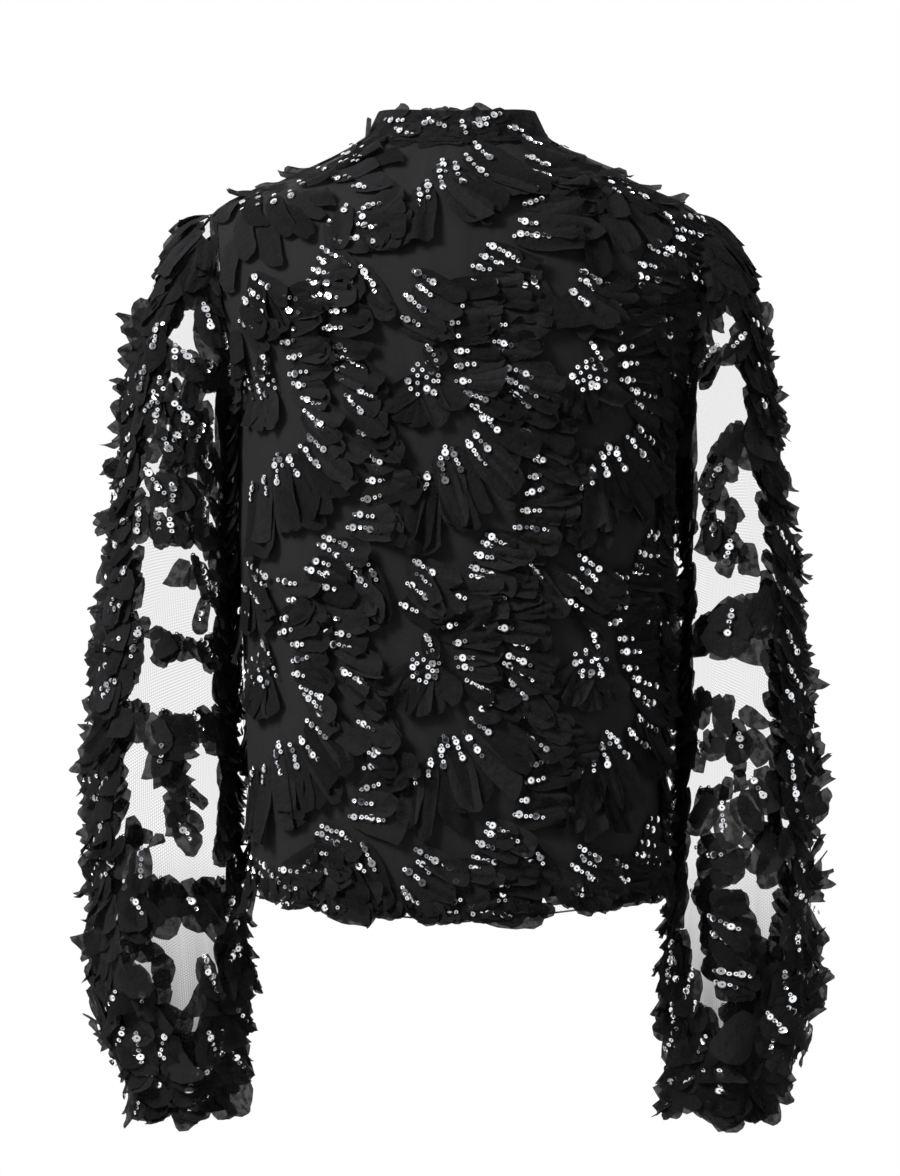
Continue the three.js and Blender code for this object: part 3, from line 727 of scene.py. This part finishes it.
# %% The rows above the repeat, on the shoulders and below the collar
TOP_ROWS = (
    (243, 199, 85, 0, 3, 34, 16), (258, 196, 88, 0, 3, 38, 17), (274, 198, 78, 0, 2, 42, 17),
    (290, 194, 66, 0, 2, 36, 16), (300, 184, 30, 0, 2, 26, 15), (320, 170, 20, 0, 2, 30, 15),
    (352, 146, 14, 0, 3, 28, 15), (344, 156, 6, 0, 4, 28, 15), (342, 164, 0, 0, 4, 24, 15),
    (334, 180, -4, 0, 4, 26, 15), (354, 187, 10, 0, 3, 22, 14), (330, 222, 70, 0, 2, 26, 15),
    (346, 206, 95, 0, 2, 30, 15), (360, 214, 60, 0, 2, 26, 15), (330, 240, 20, 0, 3, 22, 15),
    (584, 178, 88, 0, 3, 30, 16), (594, 178, 84, 0, 4, 34, 16), (608, 181, 58, 0, 4, 32, 17),
    (620, 182, 50, 0, 4, 34, 17), (640, 196, 44, 0, 2, 30, 16), (560, 148, 20, 0, 2, 34, 17),
    (556, 166, 60, 0, 0, 40, 18), (676, 238, 26, 0, 4, 10, 14), (672, 248, 30, 0, 3, 12, 14),
    (662, 265, 38, 0, 5, 14, 15), (664, 215, 60, 0, 3, 26, 16), (540, 180, 50, 0, 0, 44, 19),
    (548, 205, 40, 0, 0, 40, 19), (566, 196, 75, 0, 0, 44, 18), (600, 205, 60, 0, 0, 46, 18),
    (630, 205, 55, 0, 0, 42, 18), (246, 214, 82, 0, 0, 44, 18), (266, 216, 76, 0, 0, 46, 18),
    (284, 206, 62, 0, 0, 40, 18), (300, 196, 40, 0, 0, 34, 17), (365, 160, 30, 0, 0, 34, 17),
    (350, 172, 40, 0, 0, 34, 16), (235, 240, 92, 0, 0, 40, 18), (590, 228, 80, 0, 0, 40, 18),
)


def sew_top(trim, chart, mirrored=False, skip=lambda x, y: False):
    """The rows that only the shoulders and the neck have."""
    for x, y, heading, bend, count, tongue, width in TOP_ROWS:
        if mirrored:
            x, heading = 900 - x, 180 - heading
        if skip(x, y):
            continue
        if count:
            sew_row(trim, chart, x, y, heading, bend, count, tongue, width, rng.uniform(2, 4), 0.4)
        else:
            sew_petal(trim, chart, x, y, heading, tongue, width, rng.uniform(2, 5), 0.4, 0.5)


def sew_shoulders(trim, chart):
    """Loose petals along the tops of the shoulders, which break up the outline."""
    left = (262, 184, 200), (286, 176, 190), (318, 164, 205)
    right = (596, 164, -15), (622, 176, -5), (650, 190, 10)
    for x, y, heading in left + right:
        spot = chart.find(x, y + 8)
        if spot is not None:
            length, width = rng.uniform(20, 27), rng.uniform(14, 18)
            place = chart.lay(spot, heading, 0.8)
            add_petal(trim.row["petals"], place, length, width, rng.uniform(5, 9), 0.6)
            trim.join()


def sew_hem(trim, chart):
    """A ragged border of short petals that hang to the hem, and a loose row down each side."""
    for x in np.arange(238, 664, 11.0):
        low = chart.low(x)
        for above in (32, 18):
            start = x + rng.uniform(-5, 5), low - above + rng.uniform(-5, 5)
            reach = above * STEP + rng.uniform(-5, 2)
            if rng.random() < 0.85:
                heading, width = rng.uniform(50, 120), rng.uniform(11, 18)
                sew_petal(trim, chart, *start, heading, max(reach, 11), width, 2.5, 0.5)
        if rng.random() < 0.25:
            y, heading, count = low - rng.uniform(18, 36), rng.uniform(40, 80), rng.randint(2, 4)
            sew_row(trim, chart, x, y, heading, 0, count, 4, 10, 3)
    for y in np.arange(330, 870, 14.0):
        for x in (237.5, 662.5):
            heading, length, width = rng.uniform(70, 110), rng.uniform(18, 28), rng.uniform(12, 18)
            sew_petal(trim, chart, x, y, heading, length, width, 7, 0.5, 1.0)


# %% Sew the back
back_trim = Trimming()
for column in range(-1, 3):
    for repeat in range(-1, 3):
        place = 250 + WIDE * column, 275 + HIGH * repeat - 4 * column
        sew_repeat(back_trim, back_chart, *place, lambda x, y: y < 205 and not 385 < x < 535)
sew_top(back_trim, back_chart)
sew_shoulders(back_trim, back_chart)
sew_hem(back_trim, back_chart)
back_pieces = back_trim.finish("back", body_cloth, [f"ruffle_back_{i}" for i in range(1, 7)])

# %% Sew the front, with its middle left clear for the neck's opening
front_trim = Trimming()
for column in range(-1, 3):
    for repeat in range(-1, 3):
        place = 262 + WIDE * column, 275 + HIGH * repeat - 4 * column
        sew_repeat(front_trim, front_chart, *place, lambda x, y: 425 < x < 470 and y < 370)
sew_top(front_trim, front_chart, mirrored=True, skip=lambda x, y: 425 < x < 475 or y < 172 and 330 < x < 570)
sew_hem(front_trim, front_chart)
front_pieces = front_trim.finish("front", body_cloth, [f"ruffle_front_{i}" for i in range(1, 7)])

# %% [markdown]
# ## The sleeves' trimming
# On the sleeves the trimming runs in bands along the outer and the inner line, with cross-overs that leave
# windows of bare net. Each band is a line of the chart with the direction its petals point, and the same
# band is sewn on the far side, so that light still comes through the windows.

# %% Bands of the two sleeves
BANDS_LEFT = (
    # outer line
    ((208, 212), (192, 250), (174, 300), (158, 335)), (120, 190), 24, 0.25,
    ((204, 196), (187, 232), (170, 280), (152, 322)), (60, 150), 27, 0.3,
    ((150, 320), (136, 400), (130, 470), (122, 540), (113, 600), (108, 680)), (140, 215), 30, 1,
    ((108, 680), (101, 760), (99, 850), (100, 940), (106, 1010), (120, 1060)), (140, 215), 30, 1,
    ((160, 330), (144, 400), (136, 470), (131, 540), (124, 600), (118, 680)), (90, 150), 26, 0.6,
    ((118, 680), (112, 760), (108, 850), (110, 940), (118, 1010), (132, 1060)), (90, 150), 26, 0.6,
    # inner line
    ((216, 225), (222, 280), (224, 340), (226, 420), (226, 520)), (60, 120), 24, 0.5,
    ((228, 330), (230, 420), (228, 520), (228, 600), (226, 680)), (-20, 70), 24, 0.6,
    ((226, 680), (228, 760), (231, 850), (232, 940), (230, 1030)), (30, 110), 28, 0.5,
    ((219, 540), (219, 620), (221, 700), (223, 780), (225, 860)), (70, 130), 24, 0.6,
    ((229, 300), (230, 420), (230, 520), (230, 600), (229, 680)), (60, 120), 26, 0.9,
    ((229, 680), (229, 780), (230, 880), (232, 960), (232, 1010)), (70, 120), 26, 0.5,
    ((222, 330), (222, 430), (222, 530), (222, 640), (222, 760)), (30, 110), 24, 0.5,
    # cross-overs
    ((150, 345), (180, 352), (208, 362)), (40, 110), 22, 0.6,
    ((164, 366), (160, 410), (166, 456), (176, 512)), (50, 130), 17, 0.3,
    ((196, 366), (192, 400), (204, 440), (214, 480)), (60, 140), 18, 0.3,
    ((176, 432), (196, 446), (214, 450)), (50, 120), 18, 0.4,
    ((148, 392), (176, 396), (190, 412)), (50, 120), 20, 0.5,
    ((150, 470), (176, 480), (205, 500)), (30, 100), 20, 0.5,
    ((146, 512), (180, 520), (218, 524)), (60, 110), 20, 0.5,
    ((182, 556), (200, 566), (208, 596)), (60, 120), 18, 0.4,
    ((122, 612), (160, 636), (208, 640)), (50, 110), 24, 0.7,
    ((124, 706), (160, 722), (204, 712)), (40, 110), 26, 0.7,
    ((160, 742), (164, 790), (178, 832)), (40, 110), 22, 0.5,
    ((92, 812), (120, 836), (146, 850)), (60, 120), 26, 0.8,
    ((90, 882), (150, 898), (200, 896), (236, 884)), (50, 120), 32, 0.9,
    ((118, 950), (138, 976), (150, 1000)), (40, 120), 28, 0.8,
    ((200, 956), (210, 980), (216, 1004)), (50, 120), 26, 0.8,
    # the full lower end
    ((104, 1000), (124, 1004), (144, 1006)), (50, 130), 34, 1,
    ((206, 1006), (236, 1002)), (50, 130), 34, 1,
    ((112, 1024), (150, 1030), (172, 1034)), (50, 130), 34, 1,
    ((204, 1030), (234, 1026)), (50, 130), 34, 1,
    ((122, 1050), (150, 1052), (190, 1054), (230, 1050)), (50, 130), 34, 1,
    ((122, 1064), (150, 1068), (190, 1070), (230, 1064)), (30, 150), 36, 0.7,
    ((130, 1080), (156, 1084), (190, 1086), (222, 1080)), (40, 140), 30, 0.35,
    ((136, 1096), (156, 1100), (190, 1100), (214, 1096)), (20, 160), 26, 0.2,
    # the head
    ((216, 158), (200, 176), (182, 204), (164, 244)), (60, 150), 30, 0.5,
    ((224, 170), (212, 200), (200, 236), (190, 270)), (70, 150), 30, 0.4,
    ((224, 210), (216, 250), (210, 290), (204, 320)), (60, 130), 28, 0.4,
)
BANDS_RIGHT = (
    ((704, 220), (728, 260), (742, 300), (750, 350)), (0, 60), 24, 0.25,
    ((710, 204), (735, 246), (750, 290), (759, 338)), (30, 120), 27, 0.3,
    ((756, 330), (764, 400), (774, 470), (786, 540), (792, 600), (796, 680)), (-35, 40), 28, 1,
    ((796, 680), (802, 760), (806, 850), (806, 940), (800, 1010), (788, 1060)), (-35, 40), 30, 1,
    ((746, 330), (756, 400), (767, 470), (775, 540), (779, 600), (783, 680)), (30, 90), 26, 0.6,
    ((783, 680), (789, 760), (793, 850), (794, 940), (788, 1010), (774, 1060)), (30, 90), 26, 0.6,
    ((694, 240), (690, 300), (688, 360), (686, 420), (686, 520)), (60, 120), 24, 0.5,
    ((684, 360), (682, 420), (684, 520), (684, 600), (682, 680)), (110, 200), 22, 0.6,
    ((682, 680), (681, 760), (678, 850), (675, 940), (677, 1030)), (70, 150), 28, 0.5,
    ((691, 560), (689, 640), (687, 700), (687, 780), (683, 860)), (60, 120), 22, 0.5,
    ((684, 300), (683, 420), (683, 520), (683, 600), (684, 680)), (60, 120), 26, 0.9,
    ((684, 680), (683, 780), (681, 880), (677, 960), (677, 1010)), (60, 110), 26, 0.5,
    ((691, 330), (691, 430), (691, 530), (691, 640), (691, 760)), (70, 150), 24, 0.5,
    ((704, 232), (718, 262), (722, 300)), (60, 110), 22, 0.5,
    ((752, 332), (724, 342), (700, 352)), (60, 130), 22, 0.6,
    ((768, 402), (740, 424), (726, 440)), (60, 120), 24, 0.6,
    ((704, 520), (726, 530), (752, 552)), (40, 110), 22, 0.5,
    ((772, 590), (744, 606), (712, 622)), (70, 140), 36, 0.8,
    ((700, 686), (722, 700), (752, 704)), (50, 110), 22, 0.5,
    ((704, 742), (726, 736), (752, 724)), (50, 110), 22, 0.5,
    ((726, 448), (722, 486), (730, 522)), (50, 130), 17, 0.3,
    ((762, 770), (734, 800), (708, 796)), (60, 130), 26, 0.6,
    ((790, 832), (772, 842), (760, 850)), (60, 130), 26, 0.7,
    ((712, 846), (712, 890), (716, 940), (720, 1000)), (-20, 50), 28, 0.4,
    ((714, 905), (716, 950), (722, 1000)), (-15, 30), 30, 0.3,
    ((676, 956), (690, 964), (704, 968)), (50, 130), 34, 1,
    ((778, 960), (786, 990), (780, 1010)), (50, 130), 34, 1,
    ((676, 996), (700, 1004)), (50, 130), 34, 1,
    ((750, 1012), (776, 1006), (800, 1000)), (50, 130), 34, 1,
    ((678, 1028), (720, 1032), (760, 1032), (794, 1024)), (50, 130), 34, 1,
    ((682, 1050), (720, 1054), (750, 1054), (784, 1050)), (50, 130), 34, 1,
    ((672, 1064), (710, 1068), (750, 1070), (778, 1064)), (30, 150), 36, 0.7,
    ((680, 1080), (710, 1084), (740, 1086), (770, 1080)), (40, 140), 30, 0.35,
    ((688, 1096), (710, 1100), (740, 1100), (764, 1096)), (20, 160), 26, 0.2,
    # the head
    ((688, 158), (704, 176), (722, 204), (740, 244)), (30, 120), 30, 0.5,
    ((680, 170), (692, 200), (704, 236), (714, 270)), (30, 110), 30, 0.4,
    ((680, 210), (688, 250), (694, 290), (700, 320)), (50, 120), 28, 0.4,
)


def sew_band(trim, chart, line, aims, length, rise, mirrored=False):
    """Petals and sequin rows along one line of the chart."""
    points = np.array(line, float)
    steps = np.concatenate([[0], np.cumsum(np.hypot(*np.diff(points, axis=0).T))])
    for along in np.arange(0, steps[-1], 12.0):
        x = np.interp(along, steps, points[:, 0]) + rng.uniform(-4, 4)
        y = np.interp(along, steps, points[:, 1]) + rng.uniform(-4, 4)
        heading = rng.uniform(*aims)
        if mirrored:
            x, heading = 900 - x, 180 - heading
        reach = length * rng.uniform(0.8, 1.3) * (0.8 if mirrored else 1)
        wide = reach * rng.uniform(0.5, 0.72)
        lift = rise * rng.choice((3, 5, 8, 11, 17))
        spot = chart.find(x, y)
        if spot is not None and chart.facing[spot] > 0.5 and y > 300 and rng.random() < 0.34:
            count, base = rng.randint(3, 6), rng.uniform(2, 5)
            sew_row(trim, chart, x, y, heading, 0, count, reach * 0.4, wide, min(lift, 6) * 0.6, base)
        else:
            sew_petal(trim, chart, x, y, heading, reach, wide, lift, rng.choice((0, 0.3, 0.6, 1)))


def sew_sleeve(name, bands, near, far, cloth):
    """All the bands of one sleeve, on its seen side and again on its far side."""
    trim = Trimming()
    for line, aims, length, rise in zip(*[iter(bands)] * 4):
        sew_band(trim, near, line, aims, length, rise)
        sew_band(trim, far, line, aims, length, rise, mirrored=True)
    hidden = [f"ruffle_sleeve_{name}_{i}" for i in range(1, 5)] + [f"ruffle_wrist_{name}"]
    return trim.finish(f"sleeve_{name}", cloth, hidden)


left_pieces = sew_sleeve("left", BANDS_LEFT, left_chart, left_far, left_dress)
right_pieces = sew_sleeve("right", BANDS_RIGHT, right_chart, right_far, right_dress)

# %% [markdown]
# ## The collar and the seams
# The collar carries the same petals, lying along it in three overlapping rows, and their tips make its top
# edge ragged. A narrow strip binds each seam, so that no light shows between two pieces.

# %% Collar trimming
collar_trim = Trimming()
for chart, x_range, levels in (
    (collar_back, (402, 508), ((135, 0.2), (127, 0.4), (119, 0.4))),
    (collar_front, (406, 492), ((197, 0.2), (189, 0.4), (181, 0.4))),
):
    for y, rise in levels:
        for x in np.arange(x_range[0], x_range[1], 8.0):
            if chart is collar_front and 440 < x < 462:
                continue
            place = x + rng.uniform(-3, 3), y + rng.uniform(-2, 2)
            heading = rng.choice((0, 180)) + rng.uniform(-25, 25)
            if rng.random() < 0.07:
                sew_row(collar_trim, chart, *place, heading, 0, rng.randint(2, 4), 6, 11, rise * 1.5, 0.5)
            else:
                length, width = rng.uniform(16, 24), rng.uniform(10, 14)
                sew_petal(collar_trim, chart, *place, heading, length, width, rise * 2)
COLLAR_ROWS = (388, 121, 2, 4), (397, 130, 18, 4), (462, 123, 75, 3), (474, 125, 5, 3), (508, 129, 12, 3)
for x, y, heading, count in COLLAR_ROWS:
    sew_row(collar_trim, collar_back, x, y, heading, 0, count, 6, 11, 1, 0.6)
collar_pieces = collar_trim.finish("collar", collar_cloth, ["ruffle_collar"])

for name, material in (("collar", chiffon), ("cuff_left", chiffon), ("cuff_right", chiffon),
                       ("neck_button", button), ("neck_loop", button)):
    for material_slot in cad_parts[name].material_slots:
        material_slot.material = material


# %% Seam bindings
def binding(name, u_range, v_range, cloth, out=0.35, columns=180, rows=3):
    """A narrow strip of chiffon that lies over a seam."""
    bm = bmesh.new()
    bmesh.ops.create_grid(bm, x_segments=columns, y_segments=rows, size=0.5)
    for vert in bm.verts:
        u = u_range[0] + (u_range[1] - u_range[0]) * (vert.co.x + 0.5)
        vert.co = (u, v_range[0] + (v_range[1] - v_range[0]) * (vert.co.y + 0.5), out)
    wrap(bm, cloth)
    bmesh.ops.remove_doubles(bm, verts=bm.verts, dist=1e-6)
    bmesh.ops.recalc_face_normals(bm, faces=bm.faces)
    return finish(bm, name, chiffon, "chiffon")


def neck_cloth(u, v, out):
    """The neck's seam: the collar above 0 mm and the body below it."""
    above = collar_cloth(u, np.maximum(v, 0) / COLLAR_HEIGHT, out)
    return np.where(v[..., None] >= 0, above, body_cloth(u, np.minimum(v, 0), out))


def armhole_cloth(cloth, side):
    return lambda u, v, out: cloth(u, v, out) - np.where(v[..., None] < 0.02, 1.6, 0) * (side, 0, 0)


left_pieces.append(binding("binding_armhole_left", (0, 360), (0, 0.22), armhole_cloth(left_cloth, 1)))
right_pieces.append(binding("binding_armhole_right", (0, 360), (0, 0.22), armhole_cloth(right_cloth, -1)))
back_pieces.append(binding("binding_neck", (-177, 177), (-4, 3), neck_cloth))
for name, middle in (("left", 90), ("right", -90)):
    shoulder, side = (middle - 5, middle + 5), (middle - 1, middle + 1)
    back_pieces.append(binding(f"binding_shoulder_{name}", shoulder, (SHOULDER, -1), body_cloth, 0.3, 6, 40))
    back_pieces.append(binding(f"binding_side_{name}", side, (HEM, UNDERARM), body_cloth, 0.3, 4, 80))
back_pieces.append(binding("binding_hem", (-180, 180), (HEM, HEM + 1.2), body_cloth, 0.2, 240))

# %% [markdown]
# ## The cut of each panel
# A sleeve's cut is as wide at the wrist as above it, and is gathered there into the cuff, so it is larger
# than the sleeve that shows.

# %% [markdown]
# ## The camera, the light and the floor
# The camera looks straight at the back from 2.5 m. The light is a studio's: a white room, a large soft key
# from above on the left, a weaker fill from the right, and a soft one that lights the front.

# %% Camera, world and lights
camera = bpy.data.objects.new("camera", bpy.data.cameras.new("camera"))
camera.location = (0.005, 2.5, -0.3226)
camera.rotation_euler = (math.radians(90), 0, math.radians(180))
camera.data.sensor_width = 36
camera.data.lens = 106.3
bpy.context.scene.collection.objects.link(camera)
bpy.context.scene.camera = camera

world = bpy.data.worlds.new("studio")
world.use_nodes = True
world.node_tree.nodes.clear()
rays = add(world.node_tree, "ShaderNodeLightPath")
glow = add(world.node_tree, "ShaderNodeMapRange", i0=rays.outputs["Is Glossy Ray"], To_Min=0.24, To_Max=1.1)
room = add(world.node_tree, "ShaderNodeBackground", Color=linear("#f2f4f8"), Strength=glow.outputs[0])
white = add(world.node_tree, "ShaderNodeBackground", Color=(1, 1, 1, 1), Strength=1.0)
seen = rays.outputs["Is Camera Ray"]
mix = add(world.node_tree, "ShaderNodeMixShader", i0=seen, i1=room.outputs[0], i2=white.outputs[0])
add(world.node_tree, "ShaderNodeOutputWorld", Surface=mix.outputs[0])
bpy.context.scene.world = world
bpy.context.scene.view_settings.view_transform = "Standard"


def add_softbox(name, place, aim, size, power):
    light = bpy.data.objects.new(name, bpy.data.lights.new(name, "AREA"))
    light.data.shape = "RECTANGLE"
    light.data.size, light.data.size_y = size
    light.data.energy = power
    light.location = place
    light.rotation_euler = (Vector(aim) - Vector(place)).to_track_quat("-Z", "Y").to_euler()
    bpy.context.scene.collection.objects.link(light)


add_softbox("key", (1.7, 1.5, 1.2), (0, 0, -0.3), (0.7, 0.9), 95)
add_softbox("fill", (-1.8, 1.9, 0.2), (0, 0, -0.35), (1.0, 1.6), 5)
add_softbox("front", (0.4, -2.4, 1.2), (0, 0, -0.3), (1.4, 1.4), 26)

bm = bmesh.new()
bmesh.ops.create_circle(bm, cap_ends=True, segments=64, radius=0.55, matrix=Matrix.Translation((0, 0, -0.9)))
floor_mesh = bpy.data.meshes.new("floor")
bm.to_mesh(floor_mesh)
bm.free()
floor_paint, tree, shader = new_material("matt_paint", Base_Color=linear("#f2f2f0"), Roughness=0.9)
floor_mesh.materials.append(floor_paint)
floor = bpy.data.objects.new("floor", floor_mesh)
bpy.context.scene.collection.objects.link(floor)
